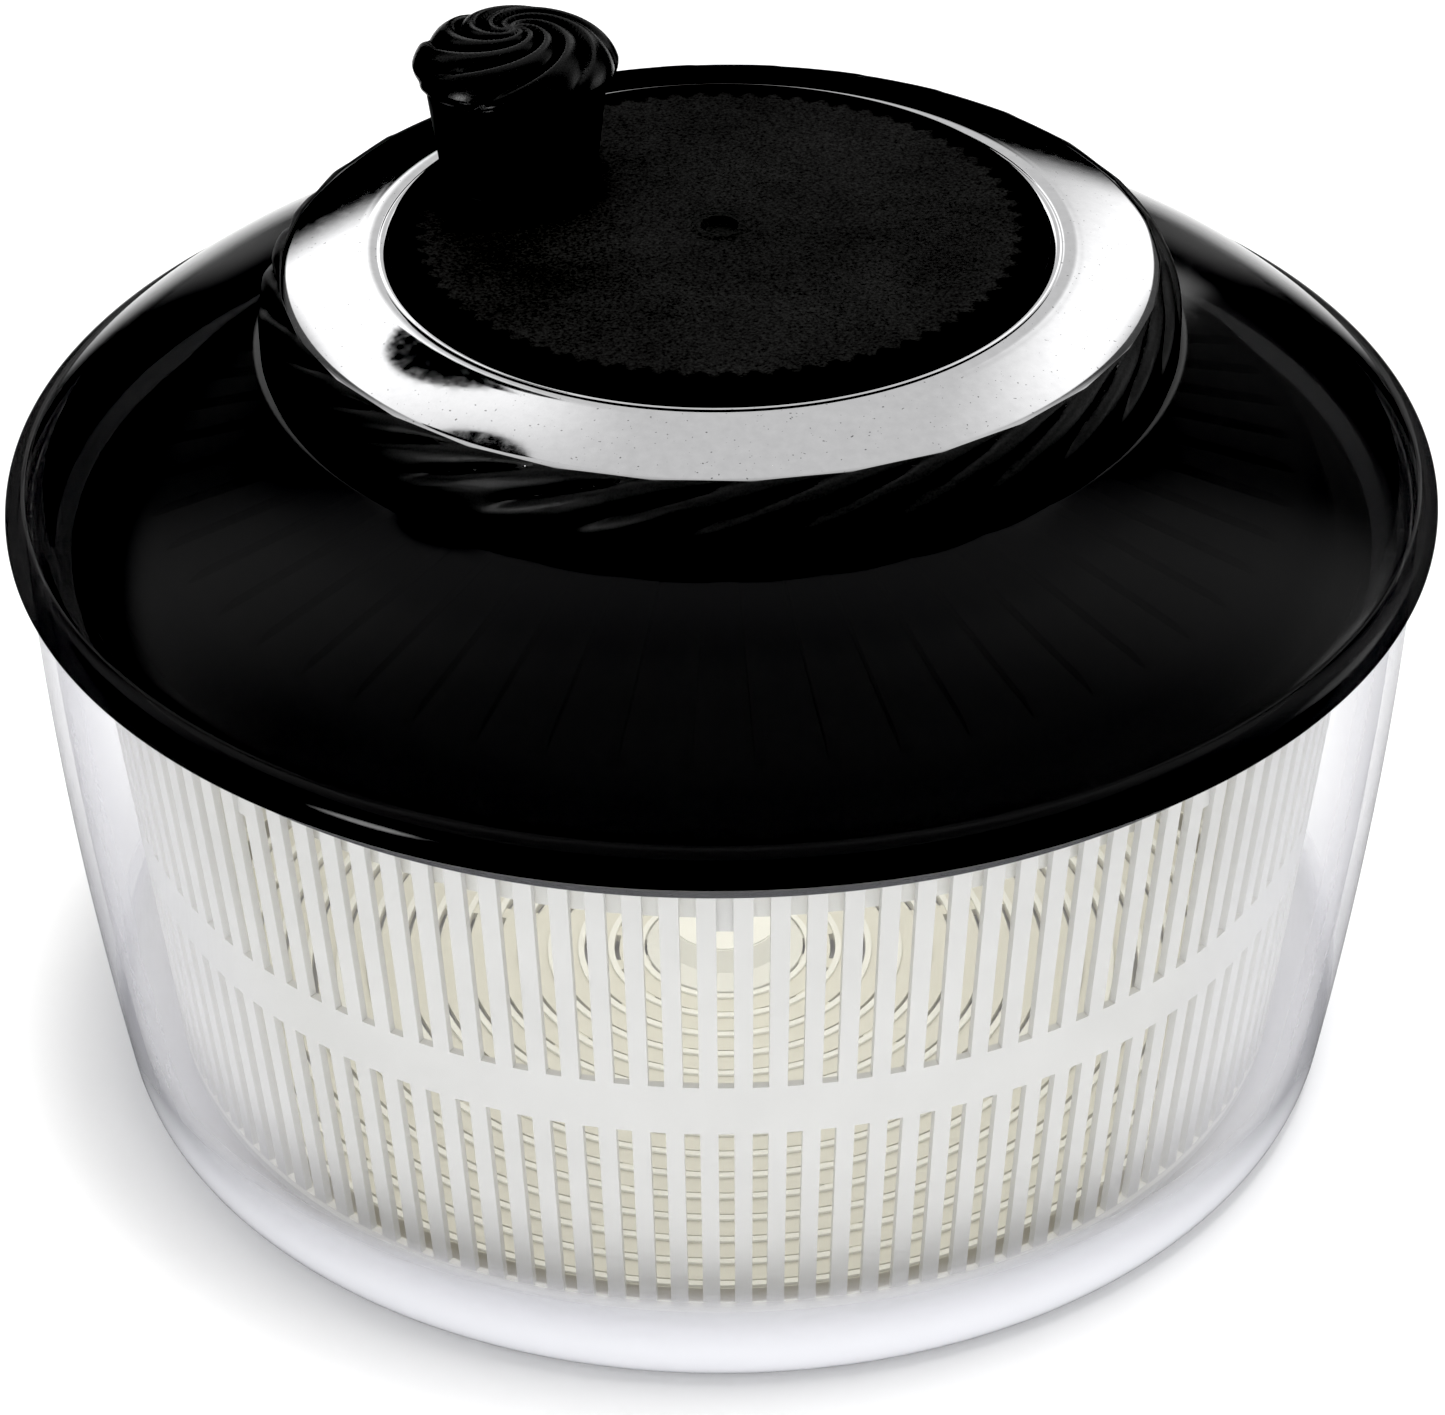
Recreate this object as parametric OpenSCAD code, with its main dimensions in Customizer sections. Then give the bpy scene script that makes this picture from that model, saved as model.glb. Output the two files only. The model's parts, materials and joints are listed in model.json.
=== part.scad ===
// Crank salad spinner: clear bowl, slotted basket and a geared lid with a crank disc.
// Millimetres, +Z up, origin at the centre of the bowl's base.

/* [Bowl] */
// Outer radius of the bowl's wall under its rim
bowl_rim_r = 127.6; // [127:0.1:127.8]
// How much wider the wall is at the rim than at the base
bowl_flare = 10.1; // [7:0.1:10.4]
// Thickness of the bowl's wall
bowl_wall = 2.4; // [2:0.1:2.5]

/* [Basket] */
// Outer radius of the basket's wall at table height
basket_base_r = 107.3; // [106:0.1:107.5]
// How much the basket's radius grows for each millimetre of height
basket_slope = 0.0975; // [0.09:0.0005:0.1]
// Thickness of the basket's wall
basket_wall = 1.7; // [1.4:0.1:1.8]
// Number of slots around the basket in each row
slot_count = 120; // [60:1:124]
// Width of one slot
slot_w = 2.7; // [1.5:0.1:2.8]

/* [Lid] */
// Radius of the lid's lip
lid_r = 131; // [130.8:0.1:134]
// Thickness of the lid's wall
lid_wall = 2.2; // [1.8:0.1:2.4]
// Number of ribs on the drive plate
plate_ribs = 54; // [12:1:60]

/* [Collar] */
// Number of slanting flutes around the grip collar
flute_count = 30; // [16:1:36]
// Depth of one flute
flute_depth = 1.4; // [0.6:0.1:1.6]
// Turn of the flutes from their lower ends to the collar's top, in degrees
flute_turn = 15; // [8:1:26]

/* [Crank] */
// Radius of the crank disc
disc_r = 59; // [58.8:0.1:59.3]
// Height of the disc's top face
disc_top = 169; // [168.8:0.1:169.2]
// Distance from the disc's centre to the knob's axis
knob_offset = 41.5; // [36:0.1:42]
// Direction of the knob's axis at rest, in degrees from +X
knob_angle = 151; // [0:1:359]

/* [Gears] */
// How much each tooth flank is set back, for running play
flank_play = 0.06; // [0.04:0.01:0.12]

/* [Hidden] */
$fn = 120;

// Heights of the levels that the pieces share
floor_top = 3.8;       // bowl floor, inside
wall_top = 116;        // where the bowl's curved wall ends
bowl_h = 120;          // top of the bowl's rim
lip_z = bowl_h - 2;    // lower edge of the lid
basket_low = 6.5;      // underside of the basket
basket_rim = 109.5;    // top of the basket's rim
housing_low = 143;     // underside of the gear housing
housing_floor = 145.5; // housing floor, inside
deck_z = 149.3;        // flat face of the lid that carries the collar
gear_low = 148;        // lower face of the gears
gear_high = 156;       // upper face of the gears
cover_low = 157;       // underside of the gear cover
cover_high = 159.5;    // top of the gear cover
collar_top = 160.4;    // top face of the collar
trim_seat = 164.8;     // where the chrome ring rests on the collar's inner wall
disc_low = disc_top - 3;

// Gear train: the ring gear drives three idlers, and they drive the sun gear
gear_module = 1.5;     // pitch diameter divided by number of teeth
small_teeth = 24;
ring_teeth = 72;
pressure_angle = 20;
idler_r = gear_module * small_teeth;  // centre distance from sun to idler
idler_dirs = [90, 210, 330];

// Radii of fasteners and pins, and where they sit
screw_r = 1.5;
pin_r = 3;
collar_screw_r = 70;
pillar_r = 42;
pillar_dirs = [30, 150, 270];
ring_screw_r = 53.8;
ring_screw_dirs = [0 : 60 : 300];
running = 0.06;        // radial play of a running fit

// Quadratic curve from a to c that heads for b
function bend(a, b, c, n = 6) =
    [for (i = [0 : n]) let (t = i / n) (1 - t) * (1 - t) * a + 2 * t * (1 - t) * b + t * t * c];

// Outer radius of the bowl and of the basket at height z
function bowl_r(z) = bowl_rim_r - bowl_flare * pow(1 - z / wall_top, 1.72);
function basket_r(z) = basket_base_r + basket_slope * z;

// Involute function in degrees, and half the angle of a tooth at radius r
function involute(a) = tan(a) * 180 / PI - a;
function half_tooth(teeth, r, extra) = let (pitch_r = gear_module * teeth / 2)
    90 / teeth + involute(pressure_angle)
    - involute(acos(min(1, pitch_r * cos(pressure_angle) / r)))
    + extra * 180 / (PI * pitch_r);
function polar(r, a) = [r * cos(a), r * sin(a)];

// Outline of a spur gear with a tooth centred on +X; extra thickens each flank
module gear_outline(teeth, root_r, tip_r, extra) {
    base_r = gear_module * teeth / 2 * cos(pressure_angle);
    flank_low = max(base_r, root_r);
    steps = 4;
    radii = [for (i = [0 : steps]) flank_low + (tip_r - flank_low) * i / steps];
    polygon([for (k = [0 : teeth - 1]) let (mid = k * 360 / teeth) each concat(
        [polar(root_r, mid - half_tooth(teeth, flank_low, extra))],
        [for (r = radii) polar(r, mid - half_tooth(teeth, r, extra))],
        [for (i = [steps : -1 : 0]) polar(radii[i], mid + half_tooth(teeth, radii[i], extra))],
        [polar(root_r, mid + half_tooth(teeth, flank_low, extra))])]);
}

module small_gear(h) {
    pitch_r = gear_module * small_teeth / 2;
    linear_extrude(h)
        gear_outline(small_teeth, pitch_r - 1.25 * gear_module, pitch_r + gear_module, -flank_play);
}

// Ring between two radii and two heights, and a plain cylinder between two heights
module tube(r_out, r_in, z0, z1) {
    translate([0, 0, z0]) difference() {
        cylinder(r = r_out, h = z1 - z0);
        translate([0, 0, -1]) cylinder(r = r_in, h = z1 - z0 + 2);
    }
}
module rod(r, z0, z1) { translate([0, 0, z0]) cylinder(r = r, h = z1 - z0); }

// Children repeated around the axis at one radius
module around(dirs, r) { for (a = dirs) rotate(a) translate([r, 0, 0]) children(); }
module at_knob() { rotate(knob_angle) translate([knob_offset, 0, 0]) children(); }

// Round-headed screw: the head's underside is at z, and up is 1 or -1 for the shank's way
module screw(z, shank_r, length, head_r, head_h, up) {
    translate([0, 0, z]) mirror([0, 0, up > 0 ? 0 : 1]) {
        cylinder(r = shank_r, h = length);
        translate([0, 0, -head_h]) cylinder(r1 = head_r * 0.8, r2 = head_r, h = head_h);
    }
}

// ---- Bowl ----

module serving_bowl() {
    foot_in = 104;
    base_r = bowl_rim_r - bowl_flare - 5.1;
    inner = bowl_wall;
    color([0.88, 0.88, 0.94, 0.35]) rotate_extrude() polygon(concat(
        [[0, 0.8], [foot_in, 0.8], [foot_in + 1, 0]],
        bend([base_r, 0], [base_r + 4.8, 0], [bowl_r(6), 6]),
        [for (z = [16 : 10 : wall_top]) [bowl_r(z), z]],
        [[bowl_rim_r, bowl_h - 0.8], [bowl_rim_r - 0.6, bowl_h]],
        [[bowl_rim_r - inner + 0.4, bowl_h], [bowl_rim_r - inner, bowl_h - 0.6]],
        [for (z = [wall_top : -10 : 16]) [bowl_r(z) - inner, z]],
        bend([bowl_r(9) - inner, 9], [bowl_r(6) - inner - 1, floor_top], [109, floor_top]),
        [[13, floor_top], [9, basket_low - 0.3], [4, basket_low - 0.3]],
        [[4, 12.6], [3, 13.6], [0, 13.9]]));
}

// ---- Basket ----

module basket_slots() {
    lower = [10, 53.2];
    upper = [64.2, 107.2];
    for (k = [0 : slot_count - 1], row = [lower, upper])
        rotate(k * 360 / slot_count)
            translate([basket_base_r - 5, -slot_w / 2, row[0]])
                cube([20, slot_w, row[1] - row[0]]);
}

module basket_floor() {
    rib = 5;
    translate([0, 0, basket_low]) linear_extrude(2.5) {
        for (r = [16 : 2 * rib + 0.5 : 95]) difference() {
            circle(r = r + rib);
            circle(r = r);
        }
        for (a = [0 : 30 : 330]) rotate(a) translate([9, -1.5]) square([93, 3]);
        difference() {
            circle(r = basket_r(basket_low) - 0.5);
            circle(r = 100.5);
        }
    }
}

module basket() {
    lug_w = 7;
    color([0.95, 0.95, 0.93]) {
        difference() {
            rotate_extrude() polygon([
                [basket_r(basket_low) - 3, basket_low], [basket_r(basket_low), basket_low + 1],
                [basket_r(107.4), 107.4], [basket_r(106.5) + 2.2, 108],
                [basket_r(106.5) + 2.2, basket_rim], [basket_r(106.5) - basket_wall, basket_rim],
                [basket_r(9) - basket_wall, 9], [basket_r(9) - 6, 9],
                [basket_r(9) - 6, basket_low]]);
            basket_slots();
        }
        basket_floor();
        tube(11, 4.08, basket_low, 14.6);
        rod(11, 14.6, 16);
        around([0 : 45 : 315], 112) translate([0, -lug_w / 2, 99.5]) cube([4.4, lug_w, 7]);
    }
}

// ---- Lid ----

module lid_dome() {
    skirt_r = 124.6;
    color([0.05, 0.05, 0.055, 0.9]) difference() {
        rotate_extrude() polygon(concat(
            [[64, deck_z]],
            bend([83, deck_z], [110, 141], [126.6, 125.3], 10),
            [[127, 124.3]],
            bend([127.9, 124.7], [lid_r, 123.8], [lid_r, lip_z + 1.4]),
            [[lid_r - 0.5, lip_z + 0.2], [lid_r - 1, lip_z], [128.8, lip_z], [128.8, bowl_h]],
            [[skirt_r, bowl_h], [skirt_r, 112.5], [skirt_r - 2, 112.5], [skirt_r - 2, 121.5]],
            bend([123.6, 124.6], [108.6, 139.1], [82.4, deck_z - lid_wall], 10),
            [[64, deck_z - lid_wall]]));
        around([45 : 90 : 315], collar_screw_r) rod(screw_r, deck_z - 5, deck_z + 1);
    }
}

module gear_housing() {
    color([0.08, 0.08, 0.08]) difference() {
        union() {
            rotate_extrude() polygon([[12.5, housing_low], [62.6, housing_low], [62.6, deck_z],
                [77, deck_z], [77, deck_z + 2], [62.6, deck_z + 2], [62.6, 154], [60.2, 154],
                [60.2, housing_floor], [12.5, housing_floor]]);
            around(idler_dirs, idler_r) rod(6, housing_floor - 1, gear_low - 0.3);
            around(pillar_dirs, pillar_r) rod(4.5, housing_floor - 1, cover_low);
        }
        around(idler_dirs, idler_r) rod(pin_r, housing_low - 1, gear_low + 1);
        around(pillar_dirs, pillar_r) rod(screw_r, 149, cover_low + 1);
        around([45 : 90 : 315], collar_screw_r) rod(screw_r, deck_z - 1, deck_z + 3);
    }
}

module lid_bushing() {
    color([0.85, 0.82, 0.7]) difference() {
        union() {
            rod(12.5, 141, housing_floor + 1);
            rod(16, housing_floor, housing_floor + 1.8);
        }
        rod(10 + running, 140, 150);
    }
}

module gear_cover() {
    color([0.12, 0.12, 0.12]) difference() {
        union() {
            rod(47, cover_low, cover_high);
            rod(9.5, cover_high - 1, cover_high + 1.7);
        }
        rod(5 + running, cover_low - 1, cover_high + 3);
        around(idler_dirs, idler_r) rod(pin_r, cover_low - 1, cover_high + 1);
        around(pillar_dirs, pillar_r) rod(screw_r, cover_low - 1, cover_high + 1);
    }
}

module cover_screws() {
    color("silver") around(pillar_dirs, pillar_r) screw(cover_high, screw_r, 8, 2.8, 1.8, -1);
}

module collar_screws() {
    color("silver") around([45 : 90 : 315], collar_screw_r)
        screw(deck_z - lid_wall, screw_r, 9.5, 2.8, 1.8, 1);
}

// Fluted outline: each flute rises in a short steep step and falls away slowly
module fluted_outline(r) {
    swell = [0, 0.8, 1, 0.94, 0.75, 0.45];
    count = len(swell);
    polygon([for (k = [0 : flute_count * count - 1])
        polar(r - flute_depth * (1 - swell[k % count]), k * 360 / (flute_count * count))]);
}

module grip_collar() {
    foot_r = 82.8;
    top_r = 79.4;
    band_top = 153;
    first_flute = 7;
    boss_top = 158.6;
    color([0.07, 0.07, 0.07]) difference() {
        union() {
            difference() {
                union() {
                    translate([0, 0, deck_z])
                        cylinder(r1 = foot_r, r2 = foot_r - 0.2, h = band_top - deck_z);
                    translate([0, 0, band_top - 0.5]) rotate(first_flute)
                        linear_extrude(collar_top - band_top + 0.5, twist = -flute_turn,
                            slices = 6, scale = top_r / foot_r) fluted_outline(foot_r - 0.25);
                }
                translate([0, 0, deck_z - 0.1]) cylinder(r1 = 79.6, r2 = 76.4, h = 9.2);
                rod(61, deck_z - 1, collar_top + 1);
            }
            tube(63, 61, 155, trim_seat);
            around([45 : 90 : 315], collar_screw_r) rod(3.4, deck_z + 2, boss_top);
        }
        around([45 : 90 : 315], collar_screw_r) rod(screw_r, deck_z + 1, 157);
    }
}

module chrome_ring() {
    in_r = 59.7;
    out_r = 79;
    color([0.92, 0.92, 0.94]) rotate_extrude() polygon(concat(
        [[out_r, collar_top], [out_r, 161.6], [out_r - 0.8, 162.5]],
        bend([64.6, 166.25], [62.6, 166.8], [61.2, 166.8], 4),
        [[in_r + 0.6, 166.9], [in_r, 166.5], [in_r, trim_seat], [64.2, trim_seat]],
        [[out_r - 1.7, 161.2], [out_r - 1.7, collar_top]]));
}

// ---- Gears ----

module idler_pin(i) {
    color("silver") rotate(idler_dirs[i]) translate([idler_r, 0, 0])
        rod(pin_r, housing_low, cover_high);
}

// An idler has a gap facing the sun gear's tooth and the ring gear's tooth
module idler_gear(i) {
    half_pitch = 180 / small_teeth;
    color([0.9, 0.88, 0.8]) rotate(idler_dirs[i]) translate([idler_r, 0, 0]) difference() {
        union() {
            translate([0, 0, gear_low]) rotate(half_pitch) small_gear(gear_high - gear_low);
            rod(5.5, gear_high - 1, cover_low - 0.3);
        }
        rod(pin_r + running, gear_low - 1, cover_low + 1);
    }
}

module sun_gear() {
    hex_r = 8.08;
    shoulder = 140.5;
    color([0.9, 0.88, 0.8]) difference() {
        union() {
            translate([0, 0, gear_low]) small_gear(gear_high - gear_low);
            rod(10, shoulder, gear_low + 1);
            translate([0, 0, 119.8]) cylinder(r = hex_r, h = shoulder - 119.8 + 1, $fn = 6);
        }
        rod(9.2, gear_high - 3, gear_high + 1);
        rod(screw_r, 119, 134);
    }
}

module drive_plate() {
    column_r = 14;
    shoulder_r = 105;
    rib_w = 1.8;
    socket_r = 8.2;
    color([0.96, 0.96, 0.95]) difference() {
        union() {
            rotate_extrude() polygon(concat(
                [[0, 116], [column_r, 116], [column_r, 135.8]],
                bend([30, 135.5], [50, 134.6], [63.6, 132.4], 3),
                bend([shoulder_r - 0.8, 122.6], [108.4, 121.4], [110.4, 113], 5),
                [[112.6, 110], [112.6, 101], [114.4, 101], [114.4, 110], [118.4, 110]],
                [[118.4, 111.8], [113.4, 111.8]],
                bend([112.3, 113.6], [110.4, 122.8], [shoulder_r, 124.5], 5),
                bend([64, 134.4], [50, 136.6], [30, 137.4], 3),
                [[column_r, 137.6], [column_r, 140.5], [0, 140.5]]));
            for (k = [0 : plate_ribs - 1]) rotate(k * 360 / plate_ribs)
                rotate([90, 0, 0]) linear_extrude(rib_w, center = true)
                    polygon([[60, 133.6], [103, 123.4], [105, 125], [102, 127], [63, 137]]);
        }
        translate([0, 0, 119.5]) cylinder(r = socket_r, h = 30, $fn = 6);
        rod(screw_r, 115, 121);
        around([0 : 45 : 315], 111) translate([0, -4.5, 100]) cube([6, 9, 7]);
    }
}

module plate_washer() { color("silver") tube(7, screw_r, 114.8, 116); }
module plate_screw() { color("silver") screw(114.8, screw_r, 18, 4, 2.2, 1); }

// The ring gear's teeth point inwards, so its gaps are cut by a gear outline
module ring_gear() {
    pitch_r = gear_module * ring_teeth / 2;
    out_r = 57.4;
    color([0.9, 0.88, 0.8]) difference() {
        union() {
            tube(out_r, 50.5, 163.5, disc_low);
            tube(out_r, 56.2, 156, 164);
            difference() {
                rod(out_r, 147, 157);
                translate([0, 0, 146]) rotate(180 / ring_teeth) linear_extrude(12)
                    gear_outline(ring_teeth, pitch_r - 1.4, pitch_r + 1.25 * gear_module,
                        flank_play);
            }
        }
        around(ring_screw_dirs, ring_screw_r) rod(1.3, 163, disc_low + 1);
    }
}

// ---- Crank ----

module crank_disc() {
    stem_r = 5;
    stem_low = cover_low - 0.3;
    color([0.16, 0.16, 0.165]) difference() {
        rotate_extrude() polygon([[0, stem_low], [stem_r, stem_low], [stem_r, 161.5], [9, 161.5],
            [9, disc_low], [disc_r - 1.4, disc_low], [disc_r - 1.4, 162.5], [disc_r, 162.5],
            [disc_r, disc_top - 1], [disc_r - 0.4, disc_top - 0.3], [disc_r - 1.4, disc_top],
            [4.8, disc_top], [4.1, disc_top + 0.35], [3.3, disc_top + 0.35],
            [2.6, disc_top - 0.6], [0, disc_top - 0.8]]);
        rod(screw_r, stem_low - 1, stem_low + 7);
        at_knob() rod(pin_r, disc_low - 1, disc_top + 1);
        around(ring_screw_dirs, ring_screw_r) rod(1.3, disc_low - 1, disc_low + 2);
    }
}

module ring_gear_screws() {
    color("silver") around(ring_screw_dirs, ring_screw_r) screw(163.5, 1.3, 4.5, 2.1, 1.6, 1);
}

module crank_washer() { color("silver") tube(8, screw_r, cover_low - 1.5, cover_low - 0.3); }
module crank_screw() { color("silver") screw(cover_low - 1.5, screw_r, 7, 4, 1.9, 1); }

module knob_spindle() {
    flange_top = disc_top + 1.2;
    spindle_top = 181.3;
    color("silver") at_knob() difference() {
        union() {
            rod(pin_r, disc_low - 3.4, disc_top);
            rod(7, disc_top, flange_top);
            rod(4, flange_top, spindle_top);
        }
        rod(screw_r, spindle_top - 6, spindle_top + 1);
    }
}

module knob_nut() {
    color("silver") at_knob() difference() {
        translate([0, 0, disc_low - 2.6]) cylinder(r = 5.8, h = 2.6, $fn = 6);
        rod(pin_r, disc_low - 3, disc_low + 1);
    }
}

module knob_sleeve() {
    low = disc_top + 0.4;
    bore_r = 4 + running;
    color([0.06, 0.06, 0.06]) at_knob() rotate_extrude() polygon([
        [7.6, low], [14.5, low], [14.5, low + 1], [14.2, low + 1.5], [16.4, 188.5],
        [16.1, 189.3], [12, 189.3], [12, 174], [7.2, 174], [7.2, 181],
        [bore_r, 181], [bore_r, low + 1.4], [7.6, low + 1.4]]);
}

module knob_washer() { color("silver") at_knob() tube(6.5, screw_r, 181.3, 182.3); }
module knob_screw() { color("silver") at_knob() screw(182.3, screw_r, 6, 3.4, 2, -1); }

module knob_cap() {
    color([0.05, 0.05, 0.05]) at_knob() rotate_extrude() polygon(concat(
        [[9.6, 186.9], [12, 186.9], [12, 189.3]],
        bend([16.8, 189.3], [18.6, 189.7], [18.6, 191.4]),
        bend([18.6, 191.6], [18, 197.8], [4, 198.6], 8),
        [[0, 198.6], [0, 190.5], [9.6, 190.5]]));
}

serving_bowl();
basket();
lid_dome();
grip_collar();
chrome_ring();
gear_housing();
lid_bushing();
gear_cover();
cover_screws();
collar_screws();
idler_pin(0);  // idler_pin_a
idler_pin(1);  // idler_pin_b
idler_pin(2);  // idler_pin_c
idler_gear(0);  // idler_gear_a
idler_gear(1);  // idler_gear_b
idler_gear(2);  // idler_gear_c
sun_gear();
drive_plate();
plate_washer();
plate_screw();
crank_disc();
ring_gear();
ring_gear_screws();
crank_washer();
crank_screw();
knob_spindle();
knob_nut();
knob_sleeve();
knob_washer();
knob_screw();
knob_cap();
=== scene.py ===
"""Salad spinner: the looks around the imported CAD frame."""
import json
import math

import bmesh
import bpy
from mathutils import Matrix, Vector


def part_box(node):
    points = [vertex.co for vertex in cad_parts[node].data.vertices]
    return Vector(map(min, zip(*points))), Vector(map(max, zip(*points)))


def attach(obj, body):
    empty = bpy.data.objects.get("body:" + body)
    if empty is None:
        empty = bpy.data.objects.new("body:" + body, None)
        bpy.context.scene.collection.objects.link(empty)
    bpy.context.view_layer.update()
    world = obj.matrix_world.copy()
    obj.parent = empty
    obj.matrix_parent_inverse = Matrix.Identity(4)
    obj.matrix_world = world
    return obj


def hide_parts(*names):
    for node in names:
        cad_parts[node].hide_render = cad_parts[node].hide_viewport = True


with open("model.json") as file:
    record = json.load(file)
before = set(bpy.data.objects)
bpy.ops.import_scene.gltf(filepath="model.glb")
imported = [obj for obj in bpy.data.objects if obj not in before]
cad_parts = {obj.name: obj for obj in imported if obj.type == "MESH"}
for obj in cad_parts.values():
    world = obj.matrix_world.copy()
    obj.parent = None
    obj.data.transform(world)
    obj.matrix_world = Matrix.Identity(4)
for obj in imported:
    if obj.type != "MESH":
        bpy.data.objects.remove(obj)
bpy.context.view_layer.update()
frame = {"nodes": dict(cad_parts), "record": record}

MM = 0.001
TAU = 2 * math.pi


def top(node):
    """Height of a CAD node's top, in millimetres."""
    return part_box(node)[1].z / MM


def low(node):
    """Height of a CAD node's lowest point, in millimetres."""
    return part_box(node)[0].z / MM


def radius(node):
    """Outer radius of a round CAD node, in millimetres."""
    lo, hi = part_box(node)
    return (hi.y - lo.y) / 2 / MM


# ---------------------------------------------------------------- mesh helpers

def bend(a, b, c, n=8):
    """Points on the quadratic curve from a to c that heads for b."""
    points = []
    for i in range(n + 1):
        t = i / n
        u = 1 - t
        points.append(tuple(u * u * p + 2 * t * u * q + t * t * r for p, q, r in zip(a, b, c)))
    return points


def new_piece(name, verts, faces, angle=32):
    """A mesh object from points in millimetres, smooth except along edges sharper than angle."""
    mesh = bpy.data.meshes.new(name)
    mesh.from_pydata([[c * MM for c in v] for v in verts], [], faces)
    work = bmesh.new()
    work.from_mesh(mesh)
    bmesh.ops.remove_doubles(work, verts=work.verts, dist=1e-7)
    bmesh.ops.recalc_face_normals(work, faces=work.faces)
    work.to_mesh(mesh)
    work.free()
    mesh.shade_smooth()
    mesh.set_sharp_from_angle(angle=math.radians(angle))
    piece = bpy.data.objects.new(name, mesh)
    bpy.context.scene.collection.objects.link(piece)
    return piece


def grid_faces(rows, cols, close_rows=False, start=0):
    """Quads between points laid out row by row, each row closed into a ring."""
    faces = []
    for i in range(rows if close_rows else rows - 1):
        for j in range(cols):
            k = (j + 1) % cols
            a, b = start + i * cols, start + (i + 1) % rows * cols
            faces.append((a + j, a + k, b + k, b + j))
    return faces


def lathe(name, profile, cols=240, centre=(0, 0), shape=None, angle=32):
    """Turns a profile of (r, z) points around the axis at centre. A profile that starts or ends
    off the axis is closed into a ring. shape(i, r, z, a) may return a changed (r, z)."""
    verts = []
    on_axis = profile[0][0] == 0 or profile[-1][0] == 0
    for i, (r, z) in enumerate(profile):
        for j in range(cols):
            a = TAU * j / cols
            rr, zz = shape(i, r, z, a) if shape and r > 0 else (r, z)
            verts.append((centre[0] + rr * math.cos(a), centre[1] + rr * math.sin(a), zz))
    faces = grid_faces(len(profile), cols, close_rows=not on_axis)
    return new_piece(name, verts, faces, angle)


# ---------------------------------------------------------------- materials

# Sockets of a Mix node that is set to colours
COLOUR_A, COLOUR_B, COLOUR_OUT = 6, 7, 2
# Share of a lamp's light that the lid and what it carries let through
THROUGH = 0.5
# The basket's outer radius at the floor, and how much it grows for each millimetre of height
BASKET_FOOT_R = 107.3
BASKET_FLARE = 0.0975
# Top of the ridges on the basket's floor, whose tops are painted paler as a painted highlight
FLOOR_RIDGE_TOP = 8.8


def material(name, **values):
    """A Principled material; values set its own sockets."""
    mat = bpy.data.materials.new(name)
    mat.use_nodes = True
    shader = mat.node_tree.nodes["Principled BSDF"]
    for key, value in values.items():
        socket = shader.inputs[key.replace("_", " ")]
        socket.default_value = (*value, 1) if isinstance(value, tuple) else value
    return mat


def add(mat, kind, **values):
    """A node of that kind in mat, with properties or inputs set by name."""
    node = mat.node_tree.nodes.new(kind)
    for key, value in values.items():
        if hasattr(node, key):
            setattr(node, key, value)
        else:
            node.inputs[key.replace("_", " ")].default_value = value
    return node


def link(mat, source, target):
    """Joins two sockets."""
    mat.node_tree.links.new(source, target)


def shader_of(mat):
    return mat.node_tree.nodes["Principled BSDF"]


def place_of(mat):
    """The object's own coordinates, in metres."""
    return add(mat, "ShaderNodeTexCoord").outputs["Object"]


def xyz_of(mat):
    """The object's own coordinates, one socket each."""
    split = add(mat, "ShaderNodeSeparateXYZ")
    link(mat, place_of(mat), split.inputs[0])
    return split.outputs["X"], split.outputs["Y"], split.outputs["Z"]


def reach_of(mat, x, y):
    """Distance from the spin axis."""
    return calc(mat, "SQRT", calc(mat, "MULTIPLY_ADD", x, x, calc(mat, "MULTIPLY", y, y)))


def noise_of(mat, scale, detail=3.0, roughness=0.55, place=None):
    """Noise over the object's own coordinates, scale in features per metre."""
    noise = add(mat, "ShaderNodeTexNoise", Scale=scale, Detail=detail, Roughness=roughness)
    link(mat, place or place_of(mat), noise.inputs["Vector"])
    return noise.outputs["Fac"]


def spread(mat, source, low_value, high_value, start=0.3, end=0.7, smooth=False):
    """Maps a value between start and end onto low_value to high_value."""
    ramp = add(mat, "ShaderNodeMapRange", interpolation_type="SMOOTHSTEP" if smooth else "LINEAR")
    for key, value in (("From Min", start), ("From Max", end),
                       ("To Min", low_value), ("To Max", high_value)):
        ramp.inputs[key].default_value = value
    link(mat, source, ramp.inputs["Value"])
    return ramp.outputs["Result"]


def calc(mat, operation, *sources):
    """A Math node over sockets and plain numbers."""
    node = add(mat, "ShaderNodeMath", operation=operation)
    for socket, source in zip(node.inputs, sources):
        if isinstance(source, (int, float)):
            socket.default_value = source
        else:
            link(mat, source, socket)
    return node.outputs[0]


def blend_colours(mat, share, first, second):
    """Mixes two colours, each a tuple or a socket, by share."""
    mix = add(mat, "ShaderNodeMix", data_type="RGBA")
    for index, colour in ((COLOUR_A, first), (COLOUR_B, second)):
        if isinstance(colour, tuple):
            mix.inputs[index].default_value = (*colour, 1)
        else:
            link(mat, colour, mix.inputs[index])
    link(mat, share, mix.inputs["Factor"])
    return mix.outputs[COLOUR_OUT]


def paint(mat, colour):
    """Drives the base colour from a socket."""
    link(mat, colour, shader_of(mat).inputs["Base Color"])


def relief(mat, source, distance, strength=0.3):
    """Bump from a value, distance in millimetres."""
    bump = add(mat, "ShaderNodeBump", Strength=strength, Distance=distance * MM)
    link(mat, source, bump.inputs["Height"])
    link(mat, bump.outputs["Normal"], shader_of(mat).inputs["Normal"])


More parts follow.
